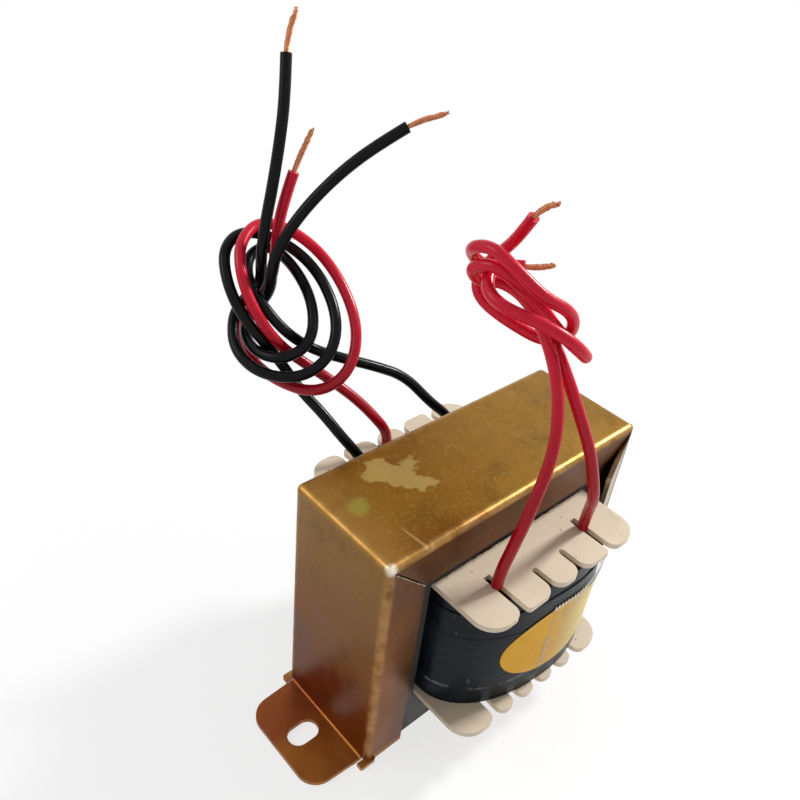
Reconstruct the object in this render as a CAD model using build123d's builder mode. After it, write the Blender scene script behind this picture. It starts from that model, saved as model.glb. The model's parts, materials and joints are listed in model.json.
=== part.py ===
"""Laminated chassis transformer: EI-66 core in a folded channel frame, five flying leads.

Millimetres. The origin is on the mounting plane, centred between the feet. +X runs along the
feet, -Y is the primary side with the round label, +Y is the secondary side and +Z is up.
"""

import os
from math import radians, tan

from build123d import *

# Lamination stack
LIMB = 11.0  # leg and yoke width; the tongue is twice this
TONGUE = 2 * LIMB
CORE_W = 6 * LIMB
CORE_H = 5 * LIMB
SHEET_PITCH = 0.5
SHEET_FILM = 0.02  # varnish between two sheets
SHEET_COUNT = 48
CORE_LIFT = 0.3  # core underside above the mounting plane

# Channel frame, one folded sheet
SHEET = 1.0
CORE_FIT = 0.1  # all round, between core and frame
INNER_BEND = 0.3
LIP = 9.2  # folded on to the front and rear of the core
SEAM = 0.35  # open mitre where two lips meet
SEAM_START = 1.3  # closed metal left at the very corner
SPRUNG_ANGLE = 71.0  # one front lip has opened from 90
FOOT_CORNER = 4.5
FOOT_TAPER = 1.2  # root to tip, both edges together
FOOT_BEND = 1.0  # at the middle of the sheet
SLOT_OUT = 5.9  # middle of the screw slot, out from the wall
SLOT_LENGTH = 6.8
SLOT_WIDTH = 4.6
SLOT_MARGIN = 2.7  # metal outside the slot, at the tip of the foot
EAR_SIDE = 1.5  # small tabs beside each foot, past the wall
EAR_FRONT = 0.5  # past the lip
EAR_W = 3.7
EAR_CORNER = 0.5
EAR_SLIT = 0.6  # between tab and foot

# Bobbin, one moulding
TONGUE_FIT = 0.2
TUBE_WALL = 0.9
TUBE_CORNER = 0.8
FLANGE_T = 1.2
FLANGE_FIT = 0.1  # over and under the bobbin in the window
FLANGE_SIDE_FIT = 0.5  # to the outer legs of the core
COMB_REACH = 26.6
MIDDLE_FINGER_W = 6.4
SPARE_SLOT_W = 1.4
SPARE_SLOT_DEPTH = 6.2
SECOND_FINGER_W = 7.1
LEAD_SLOT_W = 1.6
LEAD_SLOT_DEPTH = 10.1
LOWER_FINGER_W = 4.2
LOWER_SLOT_W = 1.8
LOWER_SLOT_COUNT = 5
END_FLAT = 1.6  # straight part of each end finger's tip
LEAD_CORNER = 2.0  # end finger beside its slot
INNER_CORNER = 0.8  # next finger beside the lead slot
TIP_FLAT = 1.6  # straight part of the middle finger's tip
LOWER_FLAT = 0.8

# Windings and tape: closed rings that bow out past the core
RING_FIT = 0.1  # innermost ring on the bobbin tube
LAYER_GAP = 0.02  # between one ring and the next
PRIMARY_BUILD = 4.2
PRIMARY_BOW = 6.2
BARRIER = 0.3
SECONDARY_BUILD = 3.7
BOW_INSET = 1.8  # secondary winding inside the tips of the comb
WRAP = 0.4
WRAP_STEP = 0.22  # the last turn of tape is narrower
WRAP_STEP_LOW = 1.6
WRAP_STEP_HIGH = 2.2
WRAP_FIT = 0.1  # to the flanges
WIRE_MARGIN = 1.5  # windings end short of the flanges
LABEL_T = 0.12
LABEL_W = 29.0
LABEL_H = 17.6
LABEL_X = 2.0
LABEL_Z = 24.6
FILM_T = 0.08
FILM_W = 33.0
FILM_H = 19.2
FILM_CORNER = 1.5

# Leads
LEAD_D = 2.2
WIRE_D = 1.3
TAIL_D = 1.2
BARE_RUN = 2.8  # straight start of a stripped end
LEAD_INSET = 7.4  # from the tips of the comb
CENTRE_LEAD_INSET = 5.1
TAIL_RUN = 3.0  # a primary tail runs this far in towards the tongue
TAIL_INSET = 2.6  # and ends this far inside the bow of its winding
CORNER_SHARE = 0.45  # of a run, taken by the curve at each end of it

# Worked out from the sizes above
OUTER_BEND = INNER_BEND + SHEET
STACK = SHEET_COUNT * SHEET_PITCH
CORE_MID = CORE_LIFT + CORE_H / 2
OUTER_W = CORE_W + 2 * (CORE_FIT + SHEET)
OUTER_D = STACK + 2 * (CORE_FIT + SHEET)
TOP = CORE_LIFT + CORE_H + CORE_FIT + SHEET
WALL = OUTER_W / 2
FRONT = OUTER_D / 2
LIP_INNER_X = WALL - LIP
LIP_INNER_Z = TOP - LIP
EAR_INNER_X = WALL + EAR_SIDE - EAR_W
FOOT_ROOT_W = 2 * (FRONT - SHEET - EAR_SLIT)
FOOT_TIP_W = FOOT_ROOT_W - FOOT_TAPER
SLOT_X = WALL + SLOT_OUT
FOOT_TIP_X = SLOT_X + SLOT_LENGTH / 2 + SLOT_MARGIN
FLANGE_TOP = CORE_LIFT + CORE_H - LIMB - FLANGE_FIT
FLANGE_BASE = CORE_LIFT + LIMB + FLANGE_FIT
SPOOL_LOW = FLANGE_BASE + FLANGE_T
SPOOL_HIGH = FLANGE_TOP - FLANGE_T
COIL_TOP = SPOOL_HIGH - WIRE_MARGIN
FLANGE_W = 4 * LIMB - 2 * FLANGE_SIDE_FIT
SPARE_SLOT_X = (MIDDLE_FINGER_W + SPARE_SLOT_W) / 2
LEAD_SLOT_X = SPARE_SLOT_X + SPARE_SLOT_W / 2 + SECOND_FINGER_W + LEAD_SLOT_W / 2
LOWER_SLOT_PITCH = LOWER_FINGER_W + LOWER_SLOT_W
LOWER_SLOTS_HALF = LOWER_SLOT_PITCH * (LOWER_SLOT_COUNT - 1) / 2
END_CORNER = FLANGE_W / 2 - LEAD_SLOT_X - LEAD_SLOT_W / 2 - LEAD_CORNER - END_FLAT
LOWER_END_CORNER = FLANGE_W / 2 - LOWER_SLOTS_HALF - LOWER_SLOT_W / 2 - LEAD_CORNER - END_FLAT
TIP_CORNER = (MIDDLE_FINGER_W - TIP_FLAT) / 2
LOWER_CORNER = (LOWER_FINGER_W - LOWER_FLAT) / 2
LEAD_Y = COMB_REACH - LEAD_INSET
CENTRE_LEAD_Y = COMB_REACH - CENTRE_LEAD_INSET
TUBE_W = TONGUE + 2 * (TONGUE_FIT + TUBE_WALL)
TUBE_D = STACK + 2 * (TONGUE_FIT + TUBE_WALL)
PRIMARY_W = TUBE_W / 2 + RING_FIT + PRIMARY_BUILD
SECONDARY_W = PRIMARY_W + BARRIER + SECONDARY_BUILD
SECONDARY_BOW = COMB_REACH - STACK / 2 - BOW_INSET
WRAP_W = SECONDARY_W + WRAP
WRAP_BOW = SECONDARY_BOW + WRAP
STEP_W = WRAP_W + WRAP_STEP
STEP_BOW = WRAP_BOW + WRAP_STEP

# Lead routes, chosen by eye from the picture; each starts on the flange over its slot
RED_LEFT_ROUTE = [
    (-LEAD_SLOT_X, -LEAD_Y, FLANGE_TOP),
    (-LEAD_SLOT_X, -LEAD_Y, 47.2),
    (-11.2, -19.1, 52.4),
    (-8.9, -18.8, 59.4),
    (-3.1, -17.0, 69.5),
    (-0.2, -13.4, 78.1),
    (1.0, -9.0, 85.3),
    (1.6, -3.3, 90.6),
    (1.1, 2.6, 92.0),
    (-2.3, 5.6, 91.6),
    (-5.3, 5.2, 95.4),
    (-4.8, 0.4, 97.7),
    (-2.9, -3.4, 95.5),
    (0.2, -6.4, 91.6),
    (3.2, -9.8, 86.8),
    (5.4, -12.7, 84.8),
    (2.1, -15.5, 87.0),
    (-1.5, -13.8, 90.2),
    (-4.2, -9.7, 91.8),
    (-6.6, -4.8, 92.5),
    (-6.6, -0.4, 93.5),
    (-3.3, 2.6, 95.1),
    (0.3, 2.1, 95.5),
    (1.9, -0.6, 95.9),
]
RED_RIGHT_ROUTE = [
    (LEAD_SLOT_X, -LEAD_Y, FLANGE_TOP),
    (LEAD_SLOT_X, -LEAD_Y, 47.0),
    (9.6, -20.6, 51.6),
    (6.1, -22.2, 57.3),
    (5.0, -19.5, 66.6),
    (3.6, -16.0, 73.9),
    (3.1, -11.5, 80.9),
    (4.1, -6.3, 86.2),
    (4.3, 0.3, 89.9),
    (3.0, 5.4, 91.8),
    (-0.5, 8.3, 93.9),
    (-4.5, 6.6, 98.2),
    (-5.2, 1.3, 100.6),
    (-4.5, -3.7, 98.5),
    (-2.0, -8.6, 94.8),
    (3.6, -10.9, 91.6),
    (7.2, -9.4, 85.6),
    (5.9, -5.4, 82.1),
    (2.7, 1.8, 84.2),
    (0.9, 7.0, 86.5),
    (1.6, 9.2, 89.3),
    (3.5, 8.5, 92.6),
    (4.5, 5.7, 96.3),
    (3.8, 3.0, 99.9),
    (3.6, 0.9, 103.8),
]
BLACK_LEFT_ROUTE = [
    (-LEAD_SLOT_X, LEAD_Y, FLANGE_TOP),
    (-LEAD_SLOT_X, LEAD_Y, 46.8),
    (-13.9, 20.2, 49.4),
    (-15.8, 22.6, 52.6),
    (-17.5, 26.9, 56.5),
    (-19.6, 32.0, 60.2),
    (-21.5, 37.3, 65.9),
    (-26.8, 40.7, 74.4),
    (-26.7, 46.5, 79.5),
    (-24.1, 51.6, 84.0),
    (-17.9, 53.8, 85.4),
    (-11.7, 48.9, 83.4),
    (-9.7, 40.2, 80.3),
    (-10.7, 32.0, 74.4),
    (-15.0, 27.6, 69.2),
    (-21.5, 28.3, 65.5),
    (-27.3, 34.0, 65.3),
    (-28.6, 41.2, 67.4),
    (-25.4, 46.9, 70.9),
    (-21.8, 48.5, 73.3),
    (-18.9, 46.3, 77.1),
    (-20.1, 44.6, 83.9),
    (-19.3, 44.4, 90.3),
    (-17.0, 45.2, 97.7),
    (-14.6, 46.6, 104.9),
    (-12.2, 48.6, 111.8),
    (-10.1, 51.4, 118.4),
]
CENTRE_TAP_ROUTE = [
    (-SPARE_SLOT_X, CENTRE_LEAD_Y, FLANGE_TOP),
    (-SPARE_SLOT_X, CENTRE_LEAD_Y, 46.8),
    (-4.9, 21.3, 50.0),
    (-6.7, 21.4, 52.9),
    (-9.5, 25.2, 57.2),
    (-13.3, 28.9, 61.2),
    (-16.9, 33.6, 64.3),
    (-21.8, 36.5, 69.1),
    (-25.0, 40.2, 76.1),
    (-24.6, 45.0, 81.9),
    (-21.7, 49.3, 85.8),
    (-15.0, 52.2, 87.5),
    (-9.1, 46.9, 85.1),
    (-6.9, 38.0, 80.5),
    (-7.9, 28.7, 72.9),
    (-12.9, 24.4, 65.8),
    (-19.6, 26.8, 61.8),
    (-24.3, 35.3, 62.7),
    (-24.7, 43.5, 64.5),
    (-22.5, 48.3, 68.3),
    (-18.5, 48.8, 72.0),
    (-16.2, 46.2, 77.3),
    (-16.4, 45.2, 84.4),
    (-15.5, 45.0, 91.9),
    (-12.9, 44.5, 99.4),
]
BLACK_RIGHT_ROUTE = [
    (LEAD_SLOT_X, LEAD_Y, FLANGE_TOP),
    (LEAD_SLOT_X, LEAD_Y, 46.8),
    (10.4, 19.6, 49.6),
    (7.0, 20.7, 52.9),
    (3.0, 25.3, 58.6),
    (-3.2, 28.1, 61.8),
    (-9.3, 30.6, 64.4),
    (-14.8, 34.2, 66.6),
    (-19.6, 36.7, 70.8),
    (-22.1, 40.2, 75.2),
    (-22.3, 46.1, 78.4),
    (-18.5, 51.6, 81.1),
    (-13.3, 51.5, 82.0),
    (-11.9, 44.4, 79.4),
    (-12.9, 36.9, 74.9),
    (-17.1, 31.6, 70.4),
    (-23.2, 31.9, 68.4),
    (-25.7, 37.8, 67.6),
    (-24.2, 44.8, 67.8),
    (-21.4, 46.2, 71.4),
    (-18.9, 43.0, 76.7),
    (-19.9, 41.2, 83.6),
    (-17.5, 40.5, 89.3),
    (-13.3, 39.0, 95.3),
    (-8.3, 36.7, 101.0),
    (-3.0, 33.9, 105.9),
    (2.1, 31.0, 109.7),
]

os.makedirs("parts", exist_ok=True)


def save(part, name):
    part.label = name
    export_step(part, f"parts/{name}.step")


# Laminations: E sheets turned alternately up and down, each with an I across its open end
SHEET_T = SHEET_PITCH - SHEET_FILM
SHEET_PLACES = [
    Location((0, STACK / 2 - SHEET_PITCH * index, CORE_MID), (0, 180 * (index % 2), 0))
    for index in range(SHEET_COUNT)
]

with BuildPart() as e_sheet:
    with BuildSketch(Plane.XZ):
        with Locations((0, LIMB / 2)):
            Rectangle(CORE_W, CORE_H - LIMB)
        with Locations((0, -LIMB / 2)):
            with GridLocations(TONGUE + LIMB, 0, 2, 1):
                Rectangle(LIMB, CORE_H - LIMB, mode=Mode.SUBTRACT)
    extrude(amount=SHEET_T)

with BuildPart() as i_sheet:
    with BuildSketch(Plane.XZ):
        with Locations((0, -(CORE_H - LIMB) / 2)):
            Rectangle(CORE_W, LIMB)
    extrude(amount=SHEET_T)

with BuildPart() as e_laminations:
    with Locations(*SHEET_PLACES):
        add(e_sheet.part)
save(e_laminations.part, "e_laminations")

with BuildPart() as i_laminations:
    with Locations(*SHEET_PLACES):
        add(i_sheet.part)
save(i_laminations.part, "i_laminations")

# Channel frame: web, two walls, folded lips, two feet
with BuildPart() as core_room:
    with BuildSketch():
        Rectangle(OUTER_W - 2 * SHEET, OUTER_D - 2 * SHEET)
    extrude(amount=TOP - SHEET)
    fillet(core_room.edges().filter_by(Axis.Z), INNER_BEND)
    fillet(core_room.faces().sort_by(Axis.Z)[-1].edges(), INNER_BEND)


def right_lip_outline(low, drop=0):
    """Right side lip seen from the front, from this height up to its mitre."""
    with BuildSketch() as outline:
        with BuildLine():
            Polyline(
                (WALL + SHEET, TOP + SHEET - drop),
                (LIP_INNER_X, LIP_INNER_Z - drop),
                (LIP_INNER_X, low),
                (WALL + SHEET, low),
                close=True,
            )
        make_face()
    return outline.sketch


with BuildPart() as sprung_lip:
    with BuildSketch(Plane.XY.offset(SHEET)):
        with BuildLine():
            fold = CenterArc(
                (WALL - OUTER_BEND, -FRONT + OUTER_BEND), OUTER_BEND - SHEET / 2, 0, -SPRUNG_ANGLE
            )
            PolarLine(fold @ 1, LIP - OUTER_BEND, direction=fold % 1)
        trace(line_width=SHEET)
    extrude(amount=TOP - SHEET)
    with BuildSketch(Plane.XZ.offset(FRONT - OUTER_BEND)):
        add(right_lip_outline(SHEET, SEAM * 2**0.5))
    extrude(amount=LIP, mode=Mode.INTERSECT)

with BuildPart() as seam_cut:
    seam_length = (LIP + SEAM - SEAM_START) * 2**0.5
    seam_middle = (LIP + SEAM + SEAM_START) / 2
    with BuildSketch(Plane.XZ.offset(FRONT - SHEET - CORE_FIT / 2)):
        with Locations(Location((WALL - seam_middle, TOP - seam_middle), 45)):
            Rectangle(seam_length, SEAM)
    extrude(amount=2 * SHEET)
    mirror(about=Plane.YZ)
    mirror(about=Plane.XZ)

with BuildPart() as feet:
    with BuildSketch(Plane.XZ.offset(-FOOT_ROOT_W / 2)):
        with BuildLine():
            FilletPolyline(
                (WALL - SHEET / 2, OUTER_BEND + SHEET),
                (WALL - SHEET / 2, SHEET / 2),
                (WALL + 2 * SHEET, SHEET / 2),
                radius=FOOT_BEND,
            )
        trace(line_width=SHEET)
    extrude(amount=FOOT_ROOT_W)
    with BuildSketch():
        with BuildLine():
            Polyline(
                (WALL + SHEET, -FOOT_ROOT_W / 2),
                (FOOT_TIP_X, -FOOT_TIP_W / 2),
                (FOOT_TIP_X, FOOT_TIP_W / 2),
                (WALL + SHEET, FOOT_ROOT_W / 2),
                close=True,
            )
        foot_plate = make_face()
        fillet(foot_plate.vertices().group_by(Axis.X)[-1], FOOT_CORNER)
        with Locations((SLOT_X, 0)):
            SlotOverall(SLOT_LENGTH, SLOT_WIDTH, mode=Mode.SUBTRACT)
    extrude(amount=SHEET)
    mirror(about=Plane.YZ)

with BuildPart() as ears:
    with BuildSketch():
        with Locations((WALL + EAR_SIDE, FRONT + EAR_FRONT)):
            ear_plate = Rectangle(EAR_W, SHEET + EAR_FRONT, align=(Align.MAX, Align.MAX))
        fillet(ear_plate.vertices().group_by(Axis.Y)[-1], EAR_CORNER)
    extrude(amount=SHEET)
    mirror(about=Plane.XZ)
    mirror(about=Plane.YZ)

with BuildPart() as chassis_frame:
    with BuildSketch():
        Rectangle(OUTER_W, OUTER_D)
    extrude(amount=TOP)
    fillet(chassis_frame.edges().filter_by(Axis.Z), OUTER_BEND)
    fillet(chassis_frame.faces().sort_by(Axis.Z)[-1].edges(), OUTER_BEND)
    add(core_room.part, mode=Mode.SUBTRACT)
    # Open front and rear between the lips
    with BuildSketch(Plane.XZ):
        Rectangle(2 * LIP_INNER_X, 2 * LIP_INNER_Z)
    extrude(amount=OUTER_D, both=True, mode=Mode.SUBTRACT)
    # Lips end level with the core, walls end on the ears and turn out into the feet
    with BuildSketch():
        Rectangle(2 * OUTER_W, 2 * OUTER_D)
    extrude(amount=CORE_LIFT, mode=Mode.SUBTRACT)
    with BuildSketch():
        Rectangle(2 * OUTER_W, 2 * OUTER_D)
        Rectangle(2 * EAR_INNER_X, 2 * OUTER_D, mode=Mode.SUBTRACT)
    extrude(amount=SHEET, mode=Mode.SUBTRACT)
    with BuildSketch():
        Rectangle(2 * OUTER_W, FOOT_ROOT_W)
    extrude(amount=OUTER_BEND + SHEET, mode=Mode.SUBTRACT)
    add(feet.part)
    add(ears.part)
    # The front right lip has sprung open
    with BuildSketch(Plane.XZ.offset(FRONT - OUTER_BEND)):
        add(right_lip_outline(SHEET))
    extrude(amount=OUTER_D, mode=Mode.SUBTRACT)
    add(sprung_lip.part)
    add(seam_cut.part, mode=Mode.SUBTRACT)
save(chassis_frame.part, "chassis_frame")


# Bobbin: tube between two flanges that end in combs
def fingertips(sketch, near_x, far_x):
    """Corners of the comb between two distances from the middle."""
    return [
        corner
        for corner in sketch.vertices()
        if abs(corner.Y) > COMB_REACH - LAYER_GAP and near_x < abs(corner.X) < far_x
    ]


with BuildPart() as bobbin:
    with BuildSketch(Plane.XY.offset(SPOOL_HIGH)) as upper_flange:
        Rectangle(FLANGE_W, 2 * COMB_REACH)
        with GridLocations(2 * LEAD_SLOT_X, 2 * COMB_REACH, 2, 2):
            Rectangle(LEAD_SLOT_W, 2 * LEAD_SLOT_DEPTH, mode=Mode.SUBTRACT)
        with GridLocations(2 * SPARE_SLOT_X, 2 * COMB_REACH, 2, 2):
            SlotOverall(2 * SPARE_SLOT_DEPTH, SPARE_SLOT_W, rotation=90, mode=Mode.SUBTRACT)
        fillet(fingertips(upper_flange, LEAD_SLOT_X + LEAD_SLOT_W, FLANGE_W), END_CORNER)
        fillet(fingertips(upper_flange, LEAD_SLOT_X, LEAD_SLOT_X + LEAD_SLOT_W), LEAD_CORNER)
        fillet(fingertips(upper_flange, LEAD_SLOT_X - LEAD_SLOT_W, LEAD_SLOT_X), INNER_CORNER)
        fillet(fingertips(upper_flange, 0, SPARE_SLOT_X + SPARE_SLOT_W), TIP_CORNER)
    extrude(amount=FLANGE_T)
    with BuildSketch(Plane.XY.offset(FLANGE_BASE)) as lower_flange:
        Rectangle(FLANGE_W, 2 * COMB_REACH)
        with GridLocations(LOWER_SLOT_PITCH, 2 * COMB_REACH, LOWER_SLOT_COUNT, 2):
            SlotOverall(2 * SPARE_SLOT_DEPTH, LOWER_SLOT_W, rotation=90, mode=Mode.SUBTRACT)
        fillet(
            fingertips(lower_flange, LOWER_SLOTS_HALF + LOWER_SLOT_W, FLANGE_W), LOWER_END_CORNER
        )
        fillet(
            fingertips(lower_flange, LOWER_SLOTS_HALF, LOWER_SLOTS_HALF + LOWER_SLOT_W), LEAD_CORNER
        )
        fillet(fingertips(lower_flange, 0, LOWER_SLOTS_HALF), LOWER_CORNER)
    extrude(amount=FLANGE_T)
    with BuildSketch(Plane.XY.offset(FLANGE_BASE)):
        RectangleRounded(TUBE_W, TUBE_D, TUBE_CORNER)
    extrude(amount=FLANGE_TOP - FLANGE_BASE)
    with BuildSketch(Plane.XY.offset(FLANGE_BASE)):
        Rectangle(TONGUE + 2 * TONGUE_FIT, STACK + 2 * TONGUE_FIT)
    extrude(amount=FLANGE_TOP - FLANGE_BASE, mode=Mode.SUBTRACT)
save(bobbin.part, "bobbin")


# Windings and tape
def bowed_outline(half_w, bow):
    """Straight beside the core, a half ellipse past each face of it."""
    with BuildSketch() as outline:
        Rectangle(2 * half_w, STACK)
        with GridLocations(0, STACK, 1, 2):
            Ellipse(half_w, bow)
    return outline.sketch


def ring(outer, inner, low, high):
    """Upright ring between two outlines."""
    with BuildPart() as made:
        with BuildSketch(Plane.XY.offset(low)):
            add(outer)
            add(inner, mode=Mode.SUBTRACT)
        extrude(amount=high - low)
    return made.part


def bowed_ring(half_w, bow, thickness, low, high):
    """Ring of tape with this inner half width and bow."""
    outer = bowed_outline(half_w + thickness, bow + thickness)
    return ring(outer, bowed_outline(half_w, bow), low, high)


COIL_LOW = SPOOL_LOW + WIRE_MARGIN
BARRIER_W = PRIMARY_W + BARRIER
BARRIER_BOW = PRIMARY_BOW + BARRIER

with BuildSketch() as tube_outline:
    RectangleRounded(TUBE_W + 2 * RING_FIT, TUBE_D + 2 * RING_FIT, TUBE_CORNER + RING_FIT)

primary_outline = bowed_outline(PRIMARY_W, PRIMARY_BOW)
primary_winding = ring(primary_outline, tube_outline.sketch, COIL_LOW, COIL_TOP)
save(primary_winding, "primary_winding")

barrier_tape = bowed_ring(
    PRIMARY_W + LAYER_GAP, PRIMARY_BOW + LAYER_GAP, BARRIER - LAYER_GAP, COIL_LOW, COIL_TOP
)
save(barrier_tape, "barrier_tape")

secondary_room = bowed_outline(BARRIER_W + LAYER_GAP, BARRIER_BOW + LAYER_GAP)
secondary_outline = bowed_outline(SECONDARY_W, SECONDARY_BOW)
secondary_winding = ring(secondary_outline, secondary_room, COIL_LOW, COIL_TOP)
save(secondary_winding, "secondary_winding")

with BuildPart() as outer_wrap:
    wrap_gap = WRAP - LAYER_GAP
    wrap_low = SPOOL_LOW + WRAP_FIT
    wrap_high = SPOOL_HIGH - WRAP_FIT
    add(bowed_ring(WRAP_W - wrap_gap, WRAP_BOW - wrap_gap, wrap_gap, wrap_low, wrap_high))
    step_low = SPOOL_LOW + WRAP_STEP_LOW
    step_high = SPOOL_HIGH - WRAP_STEP_HIGH
    add(bowed_ring(WRAP_W, WRAP_BOW, WRAP_STEP, step_low, step_high))
save(outer_wrap.part, "outer_wrap")

with BuildPart() as label:
    add(bowed_ring(STEP_W, STEP_BOW, LABEL_T, SPOOL_LOW, SPOOL_HIGH))
    with BuildSketch(Plane.XZ):
        with Locations((LABEL_X, LABEL_Z)):
            Ellipse(LABEL_W / 2, LABEL_H / 2)
    extrude(amount=2 * COMB_REACH, mode=Mode.INTERSECT)
save(label.part, "label")

with BuildPart() as label_film:
    add(bowed_ring(STEP_W + LABEL_T, STEP_BOW + LABEL_T, FILM_T, SPOOL_LOW, SPOOL_HIGH))
    with BuildSketch(Plane.XZ):
        with Locations((LABEL_X, LABEL_Z)):
            RectangleRounded(FILM_W, FILM_H, FILM_CORNER)
    extrude(amount=2 * COMB_REACH, mode=Mode.INTERSECT)
save(label_film.part, "label_film")


# Winding tails, up through the slots of the upper flange
def primary_tail(side):
    """From the slot down on to the coil, then in over the primary winding."""
    run_z = COIL_TOP + TAIL_D / 2
    end_y = STACK / 2 + PRIMARY_BOW - TAIL_INSET
    with BuildPart() as tail:
        with BuildLine() as route:
            FilletPolyline(
                (side * LEAD_SLOT_X, -LEAD_Y, FLANGE_TOP),
                (side * LEAD_SLOT_X, -LEAD_Y, run_z),
                (side * (LEAD_SLOT_X - TAIL_RUN), -end_y, run_z),
                radius=TAIL_D,
            )
        with BuildSketch(Plane(origin=route.line @ 0, z_dir=route.line % 0)):
            Circle(TAIL_D / 2)
        sweep(path=route.line)
    return tail.part


def secondary_tail(x, y):
    """Straight up from the secondary winding to the top of the flange."""
    with BuildPart() as tail:
        with BuildSketch(Plane.XY.offset(COIL_TOP)):
            with Locations((x, y)):
                Circle(TAIL_D / 2)
        extrude(amount=FLANGE_TOP - COIL_TOP)
    return tail.part


save(primary_tail(-1), "red_left_tail")
save(primary_tail(1), "red_right_tail")
save(secondary_tail(-LEAD_SLOT_X, LEAD_Y), "black_left_tail")
save(secondary_tail(-SPARE_SLOT_X, CENTRE_LEAD_Y), "centre_tap_tail")
save(secondary_tail(LEAD_SLOT_X, LEAD_Y), "black_right_tail")


# Leads and their stripped ends
def round_wire(points, diameter):
    """Round wire along the points, each corner as wide as its two runs allow."""
    radii = []
    for before, corner, after in zip(points, points[1:], points[2:]):
        run_in = Vector(corner) - Vector(before)
        run_out = Vector(after) - Vector(corner)
        half_turn = radians(run_in.get_angle(run_out) / 2)
        radii.append(CORNER_SHARE * min(run_in.length, run_out.length) / tan(half_turn))
    with BuildPart() as wire:
        with BuildLine() as route:
            FilletPolyline(*points, radius=radii)
        with BuildSketch(Plane(origin=route.line @ 0, z_dir=route.line % 0)):
            Circle(diameter / 2)
        sweep(path=route.line)
    return wire.part


save(round_wire(RED_LEFT_ROUTE, LEAD_D), "red_left_lead")
save(round_wire(RED_RIGHT_ROUTE, LEAD_D), "red_right_lead")
save(round_wire(BLACK_LEFT_ROUTE, LEAD_D), "black_left_lead")
save(round_wire(CENTRE_TAP_ROUTE, LEAD_D), "centre_tap_lead")
save(round_wire(BLACK_RIGHT_ROUTE, LEAD_D), "black_right_lead")


def stripped_end(route, tip):
    """Bare wire that leaves the insulation straight and then leans to its tip."""
    end = Vector(route[-1])
    direction = (end - Vector(route[-2])).normalized()
    return round_wire([tuple(end), tuple(end + direction * BARE_RUN), tip], WIRE_D)


save(stripped_end(RED_LEFT_ROUTE, (5.3, -4.3, 97.0)), "red_left_bare_end")
save(stripped_end(RED_RIGHT_ROUTE, (5.3, -2.7, 107.2)), "red_right_bare_end")
save(stripped_end(BLACK_LEFT_ROUTE, (-6.8, 52.9, 125.7)), "black_left_bare_end")
save(stripped_end(CENTRE_TAP_ROUTE, (-7.7, 45.4, 107.1)), "centre_tap_bare_end")
save(stripped_end(BLACK_RIGHT_ROUTE, (7.9, 26.5, 112.7)), "black_right_bare_end")
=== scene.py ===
"""Looks of the laminated chassis transformer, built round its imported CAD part. Metres."""

import json
import math
import random

import bpy
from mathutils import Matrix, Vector


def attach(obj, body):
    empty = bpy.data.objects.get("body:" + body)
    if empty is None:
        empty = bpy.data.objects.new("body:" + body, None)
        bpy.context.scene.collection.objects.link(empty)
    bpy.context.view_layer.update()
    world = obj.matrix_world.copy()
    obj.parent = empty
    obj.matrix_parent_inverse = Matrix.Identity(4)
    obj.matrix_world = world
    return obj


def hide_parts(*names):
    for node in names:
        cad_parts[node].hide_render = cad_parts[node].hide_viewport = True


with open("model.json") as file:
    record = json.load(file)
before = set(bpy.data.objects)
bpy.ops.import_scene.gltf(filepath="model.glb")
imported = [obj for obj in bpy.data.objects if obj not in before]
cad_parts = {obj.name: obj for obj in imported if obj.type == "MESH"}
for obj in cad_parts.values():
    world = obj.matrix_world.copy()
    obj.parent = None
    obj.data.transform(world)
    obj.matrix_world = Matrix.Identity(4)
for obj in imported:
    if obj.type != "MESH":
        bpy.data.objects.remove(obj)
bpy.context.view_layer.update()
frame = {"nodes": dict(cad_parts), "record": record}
NODES = frame["nodes"]
MM = 0.001

# Places on the part, in millimetres as in its source
LEAD_D = 2.2
WIRE_D = 1.3
BARE_RUN = 2.8
LEAD_SLOT_X = 12.5
LEAD_Y = 19.2
SPARE_SLOT_X = 3.9
CENTRE_LEAD_Y = 21.5
FLANGE_TOP = 44.2
FRAME_TOP = 56.4
CORE_FACE = 12.0
LIP_FACE = 13.1
COIL_LOW = 12.7
COIL_HIGH = 42.9
WRAP_EDGES = (14.2, 17.8, 32.8, 38.9)  # where one turn of tape ends on the next
WRAP_PROUD = (0.0, 0.2, 0.34, 0.24, 0.0)  # how far each turn stands out, from the lowest up

RED_LEFT_ROUTE = [
    (-LEAD_SLOT_X, -LEAD_Y, FLANGE_TOP),
    (-LEAD_SLOT_X, -LEAD_Y, 47.2),
    (-10.9, -19.4, 52.4),
    (-8.2, -19.4, 59.4),
    (-2.3, -17.7, 69.5),
    (0.5, -14.0, 78.1),
    (1.3, -9.3, 85.3),
    (1.6, -3.3, 90.6),
    (1.1, 2.6, 92.0),
    (-2.3, 5.6, 91.6),
    (-5.3, 5.2, 95.4),
    (-4.8, 0.4, 97.7),
    (-2.9, -3.4, 95.5),
    (0.3, -6.5, 91.8),
    (3.2, -9.7, 87.0),
    (5.6, -12.4, 84.4),
    (4.0, -15.4, 84.9),
    (1.0, -15.4, 87.8),
    (-1.8, -13.5, 90.3),
    (-4.2, -9.7, 91.8),
    (-6.6, -4.8, 92.5),
    (-6.6, -0.4, 93.5),
    (-3.3, 2.6, 95.1),
    (0.3, 2.1, 95.5),
    (1.9, -0.6, 95.9),
]
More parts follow.
